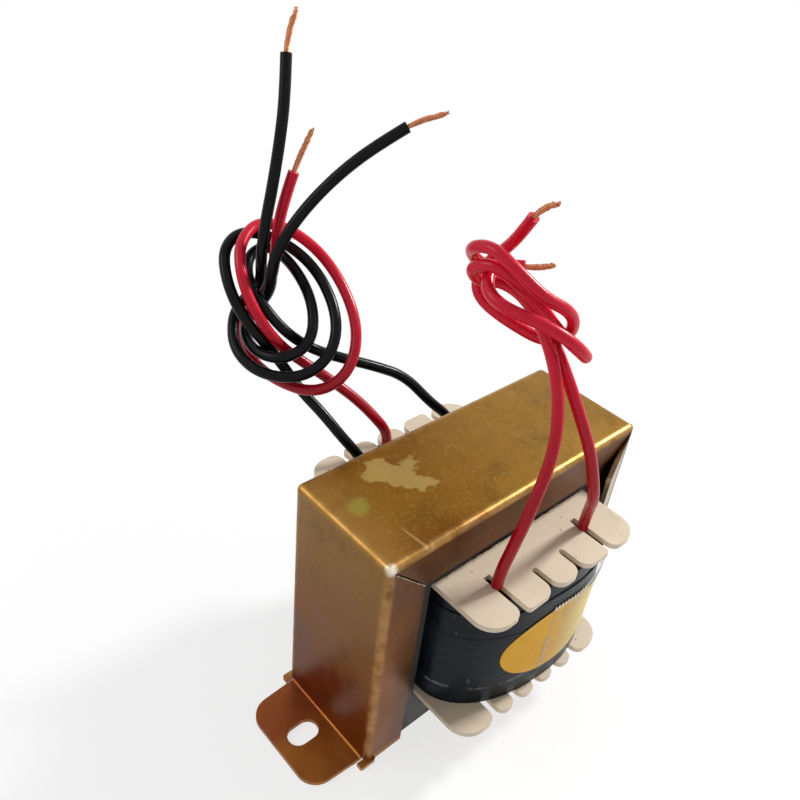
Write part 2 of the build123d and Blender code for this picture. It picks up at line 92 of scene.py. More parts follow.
RED_RIGHT_ROUTE = [
    (LEAD_SLOT_X, -LEAD_Y, FLANGE_TOP),
    (LEAD_SLOT_X, -LEAD_Y, 46.6),
    (11.0, -20.2, 51.4),
    (7.3, -22.3, 57.3),
    (5.8, -20.1, 66.6),
    (4.3, -16.6, 73.9),
    (3.6, -12.0, 80.9),
    (4.1, -6.3, 86.2),
    (4.3, 0.3, 89.9),
    (3.0, 5.4, 91.8),
    (-0.5, 8.3, 93.9),
    (-4.5, 6.6, 98.2),
    (-5.2, 1.3, 100.6),
    (-4.5, -3.7, 98.5),
    (-2.0, -8.6, 94.8),
    (3.6, -10.9, 91.6),
    (7.2, -9.4, 85.6),
    (5.9, -5.4, 82.1),
    (2.7, 1.8, 84.2),
    (0.9, 7.0, 86.5),
    (1.6, 9.2, 89.3),
    (3.5, 8.5, 92.6),
    (4.5, 5.7, 96.3),
    (3.8, 3.0, 99.9),
    (3.6, 0.9, 103.8),
]
BLACK_LEFT_ROUTE = [
    (-LEAD_SLOT_X, LEAD_Y, FLANGE_TOP),
    (-LEAD_SLOT_X, LEAD_Y, 46.8),
    (-13.9, 20.2, 49.4),
    (-15.8, 22.6, 52.6),
    (-17.5, 26.9, 56.5),
    (-19.6, 32.0, 60.2),
    (-21.5, 37.3, 65.9),
    (-26.8, 40.7, 74.4),
    (-26.7, 46.5, 79.5),
    (-24.1, 51.6, 84.0),
    (-17.9, 53.8, 85.4),
    (-11.7, 48.9, 83.4),
    (-9.7, 40.2, 80.3),
    (-10.7, 32.0, 74.4),
    (-15.0, 27.6, 69.2),
    (-21.5, 28.3, 65.5),
    (-27.3, 34.0, 65.3),
    (-28.6, 41.2, 67.4),
    (-25.4, 46.9, 70.9),
    (-21.8, 48.5, 73.3),
    (-18.9, 46.3, 77.1),
    (-20.1, 44.6, 83.9),
    (-19.3, 44.4, 90.3),
    (-17.0, 45.2, 97.7),
    (-14.6, 46.6, 104.9),
    (-12.2, 48.6, 111.8),
    (-10.1, 51.4, 118.4),
]
CENTRE_TAP_ROUTE = [
    (-SPARE_SLOT_X, CENTRE_LEAD_Y, FLANGE_TOP),
    (-SPARE_SLOT_X, CENTRE_LEAD_Y, 46.8),
    (-4.9, 21.3, 50.0),
    (-6.7, 21.4, 52.9),
    (-9.5, 25.2, 57.2),
    (-13.3, 28.9, 61.2),
    (-16.9, 33.6, 64.3),
    (-21.8, 36.5, 69.1),
    (-25.0, 40.2, 76.1),
    (-24.6, 45.0, 81.9),
    (-21.7, 49.3, 85.8),
    (-15.0, 52.2, 87.5),
    (-9.1, 46.9, 85.1),
    (-6.9, 38.0, 80.5),
    (-7.9, 28.7, 72.9),
    (-12.9, 24.4, 65.8),
    (-19.6, 26.8, 61.8),
    (-24.3, 35.3, 62.7),
    (-24.7, 43.5, 64.5),
    (-22.5, 48.3, 68.3),
    (-18.5, 48.8, 72.0),
    (-16.2, 46.2, 77.3),
    (-16.4, 45.2, 84.4),
    (-15.5, 45.0, 91.9),
    (-12.9, 44.5, 99.4),
]
BLACK_RIGHT_ROUTE = [
    (LEAD_SLOT_X, LEAD_Y, FLANGE_TOP),
    (LEAD_SLOT_X, LEAD_Y, 46.8),
    (10.4, 19.6, 49.6),
    (7.0, 20.7, 52.9),
    (3.0, 25.3, 58.6),
    (-3.2, 28.1, 61.8),
    (-9.3, 30.6, 64.4),
    (-14.8, 34.2, 66.6),
    (-19.6, 36.7, 70.8),
    (-22.1, 40.2, 75.2),
    (-22.3, 46.1, 78.4),
    (-18.5, 51.6, 81.1),
    (-13.3, 51.5, 82.0),
    (-11.9, 44.4, 79.4),
    (-12.9, 36.9, 74.9),
    (-17.1, 31.6, 70.4),
    (-23.2, 31.9, 68.4),
    (-25.7, 37.8, 67.6),
    (-24.2, 44.8, 67.8),
    (-21.4, 46.2, 71.4),
    (-18.9, 43.0, 76.7),
    (-19.9, 41.2, 83.6),
    (-17.5, 40.5, 89.3),
    (-13.3, 39.0, 95.3),
    (-8.3, 36.7, 101.0),
    (-3.0, 33.9, 105.9),
    (2.1, 31.0, 109.7),
]


def metres(point):
    """A point given in millimetres."""
    return Vector(point) * MM


# Materials
class Paint:
    """One procedural material: a principled shader and the nodes that feed it."""

    def __init__(self, name, metallic=0.0, roughness=0.5, **sockets):
        self.material = bpy.data.materials.new(name)
        self.material.use_nodes = True
        self.tree = self.material.node_tree
        self.shader = self.tree.nodes["Principled BSDF"]
        self.shader.inputs["Metallic"].default_value = metallic
        self.shader.inputs["Roughness"].default_value = roughness
        for socket, value in sockets.items():
            self.shader.inputs[socket.replace("_", " ")].default_value = value
        self.place = self.tree.nodes.new("ShaderNodeTexCoord").outputs["Object"]

    def link(self, source, target):
        """Feeds an input from a node's output or with a plain value."""
        if hasattr(source, "links"):
            self.tree.links.new(source, target)
        else:
            target.default_value = source

    def stretched(self, x=1.0, y=1.0, z=1.0):
        """Places for a noise. A scale under 1 draws its pattern out along that axis."""
        node = self.tree.nodes.new("ShaderNodeMapping")
        self.link(self.place, node.inputs["Vector"])
        node.inputs["Scale"].default_value = (x, y, z)
        return node.outputs["Vector"]

    def noise(self, scale, detail=3.0, roughness=0.5, distortion=0.0, vector=None):
        node = self.tree.nodes.new("ShaderNodeTexNoise")
        self.link(self.place if vector is None else vector, node.inputs["Vector"])
        node.inputs["Scale"].default_value = scale
        node.inputs["Detail"].default_value = detail
        node.inputs["Roughness"].default_value = roughness
        node.inputs["Distortion"].default_value = distortion
        return node.outputs["Fac"]

    def cells(self, scale):
        """Distance to the nearest of many scattered dots."""
        node = self.tree.nodes.new("ShaderNodeTexVoronoi")
        self.link(self.place, node.inputs["Vector"])
        node.inputs["Scale"].default_value = scale
        return node.outputs["Distance"]

    def axis(self, name):
        """X, Y or Z of a place, in metres."""
        node = self.tree.nodes.new("ShaderNodeSeparateXYZ")
        self.link(self.place, node.inputs[0])
        return node.outputs[name]

    def maths(self, operation, a, b=0.0):
        node = self.tree.nodes.new("ShaderNodeMath")
        node.operation = operation
        self.link(a, node.inputs[0])
        self.link(b, node.inputs[1])
        return node.outputs[0]

    def both(self, a, b):
        """Product: where two masks meet, or a mask made weaker."""
        return self.maths("MULTIPLY", a, b)

    def either(self, a, b):
        """The stronger of two masks."""
        return self.maths("MAXIMUM", a, b)

    def between(self, value, low, high, from_low=0.0, to_high=1.0):
        """Smooth step from one result at low to another at high, which may be the smaller value."""
        node = self.tree.nodes.new("ShaderNodeMapRange")
        node.interpolation_type = "SMOOTHSTEP"
        self.link(value, node.inputs["Value"])
        node.inputs["From Min"].default_value = low
        node.inputs["From Max"].default_value = high
        node.inputs["To Min"].default_value = from_low
        node.inputs["To Max"].default_value = to_high
        return node.outputs["Result"]

    def near(self, point, radius, soft, ragged=0.0, scale=300.0, tall=1.0):
        """Mask that is 1 round a point, in millimetres. It can be tall, and its edge ragged."""
        offset = self.tree.nodes.new("ShaderNodeVectorMath")
        offset.operation = "SUBTRACT"
        self.link(self.place, offset.inputs[0])
        offset.inputs[1].default_value = metres(point)
        squeeze = self.tree.nodes.new("ShaderNodeVectorMath")
        squeeze.operation = "MULTIPLY"
        self.link(offset.outputs["Vector"], squeeze.inputs[0])
        squeeze.inputs[1].default_value = (1 / MM, 1 / MM, 1 / MM / tall)
        node = self.tree.nodes.new("ShaderNodeVectorMath")
        node.operation = "LENGTH"
        self.link(squeeze.outputs["Vector"], node.inputs[0])
        distance = node.outputs["Value"]
        if ragged:
            wobble = self.both(self.noise(scale, 4.0, 0.6), ragged)
            distance = self.maths("ADD", distance, wobble)
        return self.between(distance, radius, radius + soft, 1.0, 0.0)

    def blend(self, factor, a, b):
        """Colour a, with b over it by this factor."""
        node = self.tree.nodes.new("ShaderNodeMix")
        node.data_type = "RGBA"
        self.link(factor, node.inputs["Factor"])
        first, second = [s for s in node.inputs if s.type == "RGBA"]
        self.link(a, first)
        self.link(b, second)
        return [s for s in node.outputs if s.type == "RGBA"][0]

    def tint(self, base, mask, share, colour):
        """Base colour with a share of another over it where the mask is."""
        return self.blend(self.both(mask, share), base, colour)

    def colour(self, source):
        self.link(source, self.shader.inputs["Base Color"])

    def roughness(self, source):
        self.link(source, self.shader.inputs["Roughness"])

    def bump(self, height, distance, strength=1.0):
        """Adds relief of this many millimetres over what is there."""
        node = self.tree.nodes.new("ShaderNodeBump")
        node.inputs["Distance"].default_value = distance * MM
        node.inputs["Strength"].default_value = strength
        self.link(height, node.inputs["Height"])
        normal = self.shader.inputs["Normal"]
        if normal.links:
            self.link(normal.links[0].from_socket, node.inputs["Normal"])
        self.link(node.outputs["Normal"], normal)


def srgb(red, green, blue):
    """Linear colour from a 0 to 255 one."""
    parts = []
    for value in (red, green, blue):
        value /= 255
        parts.append(value / 12.92 if value <= 0.04045 else ((value + 0.055) / 1.055) ** 2.4)
    return (*parts, 1.0)


SPILL_SPOTS = ((-19.6, 7.0, 5.8), (-17.2, 3.4, 5.6), (-15.0, 0.2, 4.6), (-13.4, 5.6, 4.4))  # x, y, radius
GREEN_SPOT = (-28.7, 1.7)


def passivated_steel():
    """Yellow-brown zinc passivation: olive gold on top, redder low down and on the lips."""
    paint = Paint("passivated_steel", metallic=1.0, roughness=0.38)
    x, y, z = (paint.axis(name) for name in "XYZ")
    width = paint.maths("ABSOLUTE", x)
    depth = paint.maths("ABSOLUTE", y)
    broad = paint.noise(38.0, 3.0, 0.55, 0.6)
    cloud = paint.noise(140.0, 5.0, 0.6, 0.4)
    fine = paint.noise(1500.0, 3.0, 0.65)

    # Base tones: the top, then walls, lips and feet. The walls and lips are written darker than the top:
    # partly their own redder passivation, partly painted shade on faces turned from the light.
    drift = paint.both(broad, 0.03)
    rightward = paint.between(paint.maths("ADD", x, drift), -0.012, 0.036)
    gold = paint.blend(rightward, srgb(112, 69, 12), srgb(144, 107, 46))
    gold = paint.blend(paint.between(broad, 0.42, 0.66, 0.0, 0.6), gold, srgb(136, 98, 26))
    gold = paint.blend(paint.between(x, -0.022, -0.034), gold, srgb(150, 110, 52))
    wall = paint.blend(paint.between(cloud, 0.3, 0.7), srgb(110, 65, 6), srgb(124, 78, 14))
    wall = paint.blend(paint.between(z, 0.030, 0.052, 0.0, 0.6), wall, srgb(132, 98, 40))
    red = paint.blend(paint.between(cloud, 0.35, 0.65), srgb(84, 34, 4), srgb(108, 52, 12))
    lip = paint.blend(paint.between(cloud, 0.3, 0.7), srgb(90, 52, 22), srgb(112, 68, 32))
    # Painted highlight: the side lips are lighter towards the wall's bend, most in their lower part.
    painted_light_by_wall = paint.both(paint.between(width, 0.0255, 0.0322), paint.between(z, 0.052, 0.030))
    lip = paint.blend(painted_light_by_wall, lip, srgb(130, 78, 36))
    foot = paint.blend(paint.between(broad, 0.42, 0.58), srgb(156, 100, 46), srgb(136, 74, 42))
    below_top = paint.between(z, 0.0561, 0.0554)
    low_down = paint.between(paint.maths("ADD", z, drift), 0.046, 0.022)
    base = paint.blend(below_top, gold, paint.blend(low_down, wall, red))
    on_lip = paint.both(paint.between(depth, 0.0124, 0.0131), below_top)
    base = paint.blend(on_lip, base, lip)
    on_foot = paint.between(z, 0.0018, 0.0012)
    base = paint.blend(on_foot, base, foot)

    # Grime, bright flecks and dark pits
    grime = paint.between(paint.noise(95.0, 6.0, 0.65), 0.5, 0.72)
    base = paint.tint(base, grime, 0.4, srgb(74, 50, 24))
    on_top = paint.maths("SUBTRACT", 1.0, below_top)
    flecks = paint.between(fine, 0.52, 0.68)
    base = paint.tint(base, flecks, paint.between(on_top, 0.0, 1.0, 0.07, 0.16), srgb(196, 160, 96))
    pits = paint.between(paint.noise(1100.0, 4.0, 0.7), 0.36, 0.28)
    base = paint.tint(base, pits, 0.4, srgb(58, 38, 18))

    # Bends worn and painted with a highlight, the bruised corner with a near-white painted highlight, and
    # painted light on the lip that has sprung open
    wear_and_sheen = paint.between(paint.noise(260.0, 5.0, 0.6), 0.3, 0.62, 0.15, 1.0)
    fold_y = paint.both(paint.between(depth, 0.0113, 0.0124), paint.between(z, 0.0548, 0.0557))
    fold_x = paint.both(paint.between(width, 0.0323, 0.0334), paint.between(z, 0.0546, 0.0556))
    upright = paint.both(paint.between(width, 0.0322, 0.0334), paint.between(depth, 0.0112, 0.0125))
    worn_and_lit_folds = paint.either(paint.both(fold_y, 0.6), paint.both(fold_x, 0.3))
    worn_and_lit_folds = paint.either(worn_and_lit_folds, paint.both(upright, 0.5))
    # Painted highlight along the bends, over worn metal.
    base = paint.tint(base, worn_and_lit_folds, wear_and_sheen, srgb(190, 150, 96))
    # Near-white painted highlight on the bruised front left corner.
    corner = paint.near((-33.2, -12.4, 55.6), 0.6, 1.3, 0.9, 900.0)
    base = paint.blend(corner, base, srgb(240, 232, 216))
    # Painted light: the lip that has sprung open, and a strip beside the front right bend, are painted
    # pale beige.
    beside_fold = paint.both(paint.between(x, 0.0329, 0.0333), paint.between(y, -0.0118, -0.0124))
    beside_fold = paint.both(beside_fold, below_top)
    sprung = paint.either(beside_fold, paint.between(y, -0.0134, -0.0140))
    base = paint.blend(sprung, base, paint.blend(cloud, srgb(150, 132, 104), srgb(206, 192, 164)))

    # Stains and scratches on the top
    spill = 0.0
    for x_mm, y_mm, radius in SPILL_SPOTS:
        spill = paint.either(spill, paint.near((x_mm, y_mm, FRAME_TOP), radius, 0.9, 6.0, 420.0))
    base = paint.tint(base, spill, 0.5, srgb(188, 164, 98))
    green = paint.near((*GREEN_SPOT, FRAME_TOP), 2.2, 1.8, 2.4, 260.0)
    base = paint.tint(base, green, 0.6, srgb(150, 146, 60))
    for stretch in ((1.0, 0.06, 0.3), (0.07, 1.0, 1.0)):
        lines = paint.noise(420.0, 2.0, 0.5, 1.2, paint.stretched(*stretch))
        scratch = paint.both(paint.between(lines, 0.735, 0.765), on_top)
        base = paint.tint(base, scratch, 0.4, srgb(210, 176, 116))
    paint.colour(base)
    paint.roughness(paint.between(cloud, 0.25, 0.75, 0.3, 0.46))
    paint.bump(paint.noise(900.0, 3.0, 0.6, 0.0, paint.stretched(0.3, 1.0, 1.0)), 0.03, 0.5)
    paint.bump(broad, 0.25, 0.4)
    return paint.material


def burr_steel_with_highlight():
    """Steel worn bare along a burr, its pale patches partly a painted highlight along the mitre's edge.
    """
    paint = Paint("burr_steel_with_highlight", metallic=0.7, roughness=0.35)
    rubbed_and_glinting = paint.between(paint.noise(900.0, 4.0, 0.6), 0.35, 0.65)
    # Pale patches: bare steel and painted highlight.
    paint.colour(paint.blend(rubbed_and_glinting, srgb(150, 116, 92), srgb(226, 206, 182)))
    paint.bump(rubbed_and_glinting, 0.05, 0.6)
    return paint.material


def core_steel():
    """Varnished silicon steel, nearly black, with faint scale."""
    paint = Paint("core_steel", metallic=0.3, roughness=0.55)
    scale = paint.noise(160.0, 5.0, 0.6, 0.3)
    base = paint.blend(scale, srgb(34, 32, 29), srgb(62, 56, 48))
    rust = paint.between(paint.noise(310.0, 4.0, 0.7), 0.6, 0.7)
    paint.colour(paint.tint(base, rust, 0.4, srgb(92, 68, 48)))
    paint.roughness(paint.between(scale, 0.3, 0.7, 0.42, 0.66))
    paint.bump(paint.noise(1400.0, 3.0), 0.02, 0.5)
    return paint.material


def cream_nylon():
    """Cream moulded plastic with black specks and finger marks."""
    paint = Paint("cream_nylon", roughness=0.48, Specular_IOR_Level=0.25)
    paint.shader.inputs["Subsurface Weight"].default_value = 0.12
    paint.shader.inputs["Subsurface Radius"].default_value = (0.0012, 0.0009, 0.0006)
    mottle = paint.noise(120.0, 4.0, 0.6, 0.4)
    base = paint.blend(mottle, srgb(224, 209, 186), srgb(210, 193, 168))
    smudge = paint.between(paint.noise(210.0, 5.0, 0.7, 0.8), 0.56, 0.74)
    base = paint.tint(base, smudge, 0.35, srgb(186, 168, 140))
    specks = paint.between(paint.cells(420.0), 0.09, 0.065)
    crowded = paint.between(paint.noise(260.0, 2.0), 0.48, 0.54)
    specks = paint.both(specks, crowded)
    paint.colour(paint.tint(base, specks, 0.75, srgb(60, 50, 42)))
    paint.roughness(paint.between(mottle, 0.3, 0.7, 0.4, 0.56))
    paint.bump(paint.noise(700.0, 3.0), 0.03, 0.35)
    paint.bump(mottle, 0.15, 0.3)
    return paint.material


# Upright pale marks on the tape, partly scuffs and partly painted glints: the point in millimetres, and
# how many times as tall as wide
GLINTS = (((-16.2, -20.4, 20.4), 5.0), ((-19.3, -16.4, 38.0), 3.5), ((-18.9, -17.2, 33.6), 2.5))


def wrap_film():
    """Dark blue-green polyester tape: long soft wrinkles round the coil and fine scuffs, with pale marks
    along one turn's edge and upright ones that are partly scuffs and partly painted glints.
    """
    paint = Paint("wrap_film", roughness=0.3, Specular_IOR_Level=0.1)
    flow = paint.stretched(0.25, 0.25, 1.0)
    wrinkle = paint.noise(240.0, 3.0, 0.55, 0.6, flow)
    base = paint.blend(wrinkle, srgb(8, 10, 17), srgb(20, 24, 30))
    rightward = paint.between(paint.axis("X"), -0.016, 0.010)
    base = paint.blend(rightward, base, srgb(26, 35, 34))
    cloudy = paint.between(paint.noise(80.0, 4.0, 0.6, 0.5), 0.4, 0.75)
    base = paint.tint(base, cloudy, 0.5, srgb(34, 42, 50))
    scuff = paint.between(paint.noise(520.0, 4.0, 0.65, 1.5, paint.stretched(1.0, 1.0, 0.2)), 0.7, 0.76)
    base = paint.tint(base, scuff, 0.5, srgb(140, 146, 146))
    # Pale line along the edge of one turn and upright pale marks: partly scuffing, partly painted
    # highlight.
    off_edge = paint.maths("ABSOLUTE", paint.maths("SUBTRACT", paint.axis("Z"), WRAP_EDGES[1] * MM))
    patchy = paint.between(paint.noise(420.0, 5.0, 0.7), 0.46, 0.6)
    rubbed_and_glinting = paint.both(paint.between(off_edge, 0.0007, 0.0001), patchy)
    for point, tall in GLINTS:
        rubbed_and_glinting = paint.either(rubbed_and_glinting, paint.near(point, 0.1, 0.7, 0.9, 700.0, tall))
    paint.colour(paint.tint(base, rubbed_and_glinting, 0.6, srgb(136, 144, 146)))
    paint.roughness(paint.between(cloudy, 0.0, 1.0, 0.24, 0.42))
    paint.bump(wrinkle, 0.22, 0.8)
    paint.bump(paint.noise(1500.0, 2.0), 0.01, 0.4)
    return paint.material


def label_card():
    """Plain yellow-orange label, bleached towards one end."""
    paint = Paint("label_card", roughness=0.5, Specular_IOR_Level=0.15)
    tone = paint.noise(150.0, 4.0, 0.6, 0.5)
    base = paint.blend(tone, srgb(232, 178, 46), srgb(216, 156, 34))
    bleach = paint.between(paint.axis("X"), -0.001, 0.012)
    base = paint.tint(base, bleach, 0.8, srgb(220, 206, 140))
    smear = paint.between(paint.noise(330.0, 5.0, 0.7, 1.0), 0.6, 0.72)
    paint.colour(paint.tint(base, smear, 0.35, srgb(168, 126, 60)))
    paint.bump(paint.noise(1800.0, 3.0), 0.02, 0.4)
    return paint.material


def clear_film():
    """Clear tape: nearly invisible, with hazy streaks, whiter at its ends and cut edge; the near-white
    toothed cut top is a painted glint.
    """
    paint = Paint("clear_film", roughness=0.2, Specular_IOR_Level=0.4)
    streak = paint.noise(300.0, 4.0, 0.6, 0.8, paint.stretched(0.3, 0.3, 1.0))
    # Painted glint: the toothed cut top is near-white and nearly opaque.
    glinting_cut_end = paint.between(paint.axis("Z"), 0.0351, 0.0353)
    haze = paint.blend(streak, srgb(150, 156, 152), srgb(226, 226, 216))
    paint.colour(paint.blend(glinting_cut_end, haze, srgb(250, 250, 244)))
    side = paint.both(paint.between(paint.axis("X"), 0.0006, -0.0008), paint.between(streak, 0.4, 0.6))
    lifted = paint.between(paint.axis("X"), 0.0150, 0.0175)
    edge = paint.both(paint.either(side, lifted), 0.5)
    edge = paint.either(edge, paint.both(glinting_cut_end, 0.9))
    veil = paint.between(streak, 0.45, 0.8, 0.03, 0.3)
    paint.link(paint.either(veil, edge), paint.shader.inputs["Alpha"])
    paint.bump(streak, 0.12, 0.6)
    return paint.material


def pvc(name, dark, light, high, dust, gloss):
    """Glossy lead insulation, slightly uneven, with dust, and another tone high up."""
    paint = Paint(name, roughness=0.3, Specular_IOR_Level=gloss)
    uneven = paint.noise(260.0, 3.0, 0.55, 0.3)
    base = paint.blend(uneven, dark, light)
    base = paint.blend(paint.between(paint.axis("Z"), 0.060, 0.086, 0.0, 0.85), base, high)
    motes = paint.between(paint.noise(1300.0, 4.0, 0.7), 0.64, 0.7)
    paint.colour(paint.tint(base, motes, 0.18, dust))
    paint.roughness(paint.between(uneven, 0.3, 0.7, 0.2, 0.32))
    paint.bump(uneven, 0.1, 0.5)
    paint.bump(paint.noise(2200.0, 2.0), 0.008, 0.4)
    return paint.material


def bare_copper():
    """Copper strands, tarnished in patches."""
    paint = Paint("bare_copper", metallic=0.9, roughness=0.32)
    tarnish = paint.noise(900.0, 4.0, 0.6)
    paint.colour(paint.blend(tarnish, srgb(216, 150, 112), srgb(158, 92, 62)))
    paint.roughness(paint.between(tarnish, 0.3, 0.7, 0.26, 0.45))
    paint.bump(paint.noise(2600.0, 2.0), 0.01, 0.4)
    return paint.material


def enamelled_copper():
    """Enamelled wire laid in turns round the coil."""
    paint = Paint("enamelled_copper", metallic=0.6, roughness=0.35)
    turns = paint.noise(1200.0, 2.0, 0.5, 0.0, paint.stretched(0.1, 0.1, 1.0))
    paint.colour(paint.blend(turns, srgb(120, 54, 24), srgb(176, 92, 44)))
    paint.bump(turns, 0.05, 0.6)
    return paint.material


MATERIALS = {
    "passivated_steel": passivated_steel(),
    "core_steel": core_steel(),
    "cream_nylon": cream_nylon(),
    "enamelled_copper": enamelled_copper(),
    "wrap_film": wrap_film(),
    "label_card": label_card(),
    "clear_film": clear_film(),
    "red_pvc": pvc(
        "red_pvc",
        dark=srgb(152, 2, 20),
        light=srgb(174, 6, 32),
        high=srgb(212, 14, 50),
        dust=srgb(220, 110, 120),
        gloss=0.24,
    ),
    "black_pvc": pvc(
        "black_pvc",
        dark=srgb(6, 6, 8),
        light=srgb(16, 16, 19),
        high=srgb(10, 10, 13),
        dust=srgb(80, 80, 82),
        gloss=0.12,
    ),
    "bare_copper": bare_copper(),
}

for entry in frame["record"]["subparts"]:
    node = NODES[entry["node"]]
    node.data.materials.clear()
    node.data.materials.append(MATERIALS[entry["material_slot"]])


# Leads
def wires(name, lines, diameter, material, roundness=6, steps=16):
    """One object of round wires. Each line holds the control points of a smooth curve."""
    curve = bpy.data.curves.new(name, "CURVE")
    curve.dimensions = "3D"
    curve.bevel_depth = diameter / 2
    curve.bevel_resolution = roundness
    curve.resolution_u = steps
    curve.use_fill_caps = True
    for line in lines:
        spline = curve.splines.new("NURBS")
        spline.points.add(len(line) - 1)
        for target, point in zip(spline.points, line):
            target.co = (*point, 1.0)
        spline.order_u = 3
        spline.use_endpoint_u = True
    curve.materials.append(material)
    made = bpy.data.objects.new(name, curve)
    bpy.context.scene.collection.objects.link(made)
    return made


def curved(points, share):
    """Point at a share of the smooth line that three control points give."""
    start, middle, end = points
    return start * (1 - share) ** 2 + middle * 2 * share * (1 - share) + end * share**2


STRANDS = 9  # the last one runs down the middle
STRAND_D = 0.3
STRAND_STEPS = 16
STRAND_TURNS = 2.2
STRAND_START = 0.4  # inside the insulation
SPREAD = 0.6  # of the strands at their root, as a share of the wire's size
SPREAD_HALFWAY = 0.3  # added in the middle of their length


def twisted_strands(name, points, seed):
    """Stripped end: strands laid round each other, loosening towards the tip."""
    chance = random.Random(seed)
    along = (points[2] - points[0]).normalized()
    across = along.orthogonal().normalized()
    over = along.cross(across)
    lines = []
    for strand in range(STRANDS):
        reach = 1.0 - chance.uniform(0.0, 0.16)
        lean = chance.uniform(-0.5, 0.4)
        start_angle = strand / (STRANDS - 1) * math.tau
        radius = 0.0 if strand == STRANDS - 1 else (WIRE_D - STRAND_D) / 2 * MM
        line = []
        for step in range(STRAND_STEPS):
            share = step / (STRAND_STEPS - 1) * reach
            spread = radius * (SPREAD + SPREAD_HALFWAY * math.sin(math.pi * share) + lean * share**2)
            angle = start_angle + STRAND_TURNS * math.tau * share
            offset = across * math.cos(angle) + over * math.sin(angle)
            line.append(curved(points, share) + offset * spread)
        lines.append(line)
    made = wires(name, lines, STRAND_D * MM, MATERIALS["bare_copper"], roundness=3, steps=4)
    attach(made, "root")
    return made


def flying_lead(name, route, tip, slot):
    """Insulated lead with its stripped end, over their CAD solids."""
    points = [metres(point) for point in route]
    lead = wires(name + "_wire", [points], LEAD_D * MM, MATERIALS[slot])
    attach(lead, "root")
    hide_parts(name + "_lead")
    onward = (points[-1] - points[-2]).normalized()
    inside = points[-1] - onward * STRAND_START * MM
    straight = points[-1] + onward * BARE_RUN * MM
    strands = twisted_strands(name + "_strands", [inside, straight, metres(tip)], name)
    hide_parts(name + "_bare_end")


flying_lead("red_left", RED_LEFT_ROUTE, (5.3, -4.3, 97.0), "red_pvc")
flying_lead("red_right", RED_RIGHT_ROUTE, (5.3, -2.7, 107.2), "red_pvc")
flying_lead("black_left", BLACK_LEFT_ROUTE, (-6.8, 52.9, 125.7), "black_pvc")
flying_lead("centre_tap", CENTRE_TAP_ROUTE, (-7.7, 45.4, 107.1), "red_pvc")
flying_lead("black_right", BLACK_RIGHT_ROUTE, (7.9, 26.5, 112.7), "black_pvc")


# Tape and label on the coil, which bulges more towards one side in front
COIL_HALF_W = 20.45
COIL_BOW = 13.0  # past the core
LEFT_POWER = 2.0  # half an ellipse
RIGHT_POWER = 2.9  # squarer than an ellipse
EXTRA_BOW = 0.6  # on the right, with all of it from x = EXTRA_TO on
EXTRA_FROM = -6.0
EXTRA_TO = 8.0


def smooth(value, low, high):
    """From 0 at low to 1 at high, level at both."""
    share = min(1.0, max(0.0, (value - low) / (high - low)))
    return share * share * (3 - 2 * share)


def steps_between(start, end, count):
    """Both values and the even steps from one to the other."""
    return [start + (end - start) * step / count for step in range(count + 1)]


def bulge(x, proud):
    """Distance of the coil's front from the middle of the core, this far outside the coil."""
    half_w = COIL_HALF_W + proud
    power = LEFT_POWER if x < 0 else RIGHT_POWER
    bow = COIL_BOW + proud + EXTRA_BOW * smooth(x, EXTRA_FROM, EXTRA_TO)
    return CORE_FACE + bow * max(0.0, 1 - abs(x / half_w) ** power) ** (1 / power)


def coil_outline(proud, steps=48):
    """Once round the coil: bulging front, plain half ellipse behind."""
    half_w = COIL_HALF_W + proud
    turns = steps_between(0.0, math.pi, steps)
    front = [(-half_w * math.cos(turn), -bulge(-half_w * math.cos(turn), proud)) for turn in turns]
    rear_bow = COIL_BOW + proud
    rear = [(half_w * math.cos(turn), CORE_FACE + rear_bow * math.sin(turn)) for turn in turns]
    return front + rear


def new_mesh(name, points, faces, material):
    """Smooth-shaded mesh from points in millimetres."""
    mesh = bpy.data.meshes.new(name)
    mesh.from_pydata([metres(point) for point in points], [], faces)
    mesh.validate()
    mesh.polygons.foreach_set("use_smooth", [True] * len(mesh.polygons))
    mesh.materials.append(material)
    made = bpy.data.objects.new(name, mesh)
    bpy.context.scene.collection.objects.link(made)
    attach(made, "root")
    return made


WRAP_TURN_IN = 0.3  # of the ends of the tape, under the surface
WRAP_CHAMFER = 0.12  # height over which each step slopes
SHARP_ANGLE = math.radians(35)


def taped_coil():
    """The outer tape: overlapping turns, each edge a small step."""
    profile = [(COIL_LOW, -WRAP_TURN_IN), (COIL_LOW, WRAP_PROUD[0])]
    for edge, below, above in zip(WRAP_EDGES, WRAP_PROUD, WRAP_PROUD[1:]):
        profile += [(edge - WRAP_CHAMFER / 2, below), (edge + WRAP_CHAMFER / 2, above)]
    profile += [(COIL_HIGH, WRAP_PROUD[-1]), (COIL_HIGH, -WRAP_TURN_IN)]
    points = []
    for z, proud in profile:
        points += [(x, y, z) for x, y in coil_outline(proud)]
    rings = len(profile)
    around = len(points) // rings
    faces = []
    for ring in range(rings):
        above = (ring + 1) % rings
        for step in range(around):
            after = (step + 1) % around
            corners = ((ring, step), (ring, after), (above, after), (above, step))
            faces.append([row * around + column for row, column in corners])
    made = new_mesh("coil_tape", points, faces, MATERIALS["wrap_film"])
    made.modifiers.new("edges", "EDGE_SPLIT").split_angle = SHARP_ANGLE
    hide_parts("outer_wrap")


